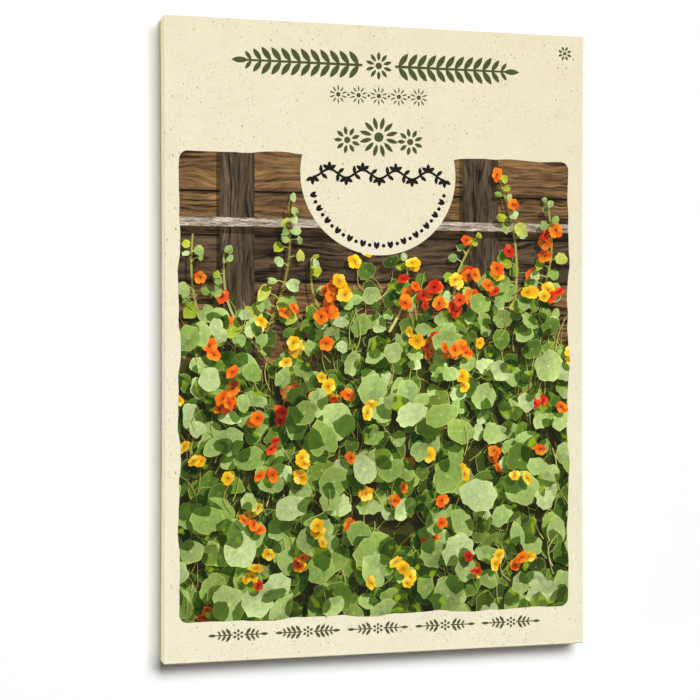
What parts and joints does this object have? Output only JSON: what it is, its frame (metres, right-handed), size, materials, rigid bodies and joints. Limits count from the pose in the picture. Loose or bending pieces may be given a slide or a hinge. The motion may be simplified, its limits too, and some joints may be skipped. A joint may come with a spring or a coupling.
{
  "type": "seed packet",
  "caption": "Sealed flat paper seed packet with low side walls, glued back seam and end flaps, and loose ribbed seeds inside.",
  "frame": {"origin": "centre of the packet's outline, on the surface that its back lies on", "axes": "+X across the front from its left to its right, +Y towards the packet's top, +Z out of the printed front"},
  "size_m": [0.115, 0.165, 0.0063],
  "materials": {
    "paper": "uncoated matte, with fine grass fibres",
    "glue": "dry paste film",
    "seed": "dry corky husk"
  },
  "bodies": {
    "root": {"paper_envelope": "paper", "back_seam_glue": "glue", "bottom_flap_glue": "glue", "top_flap_glue": "glue", "seed_01": "seed", "seed_02": "seed", "seed_03": "seed", "seed_04": "seed", "seed_05": "seed", "seed_06": "seed", "seed_07": "seed", "seed_08": "seed", "seed_09": "seed", "seed_10": "seed", "seed_11": "seed", "seed_12": "seed", "seed_13": "seed", "seed_14": "seed"}
  },
  "joints": []
}
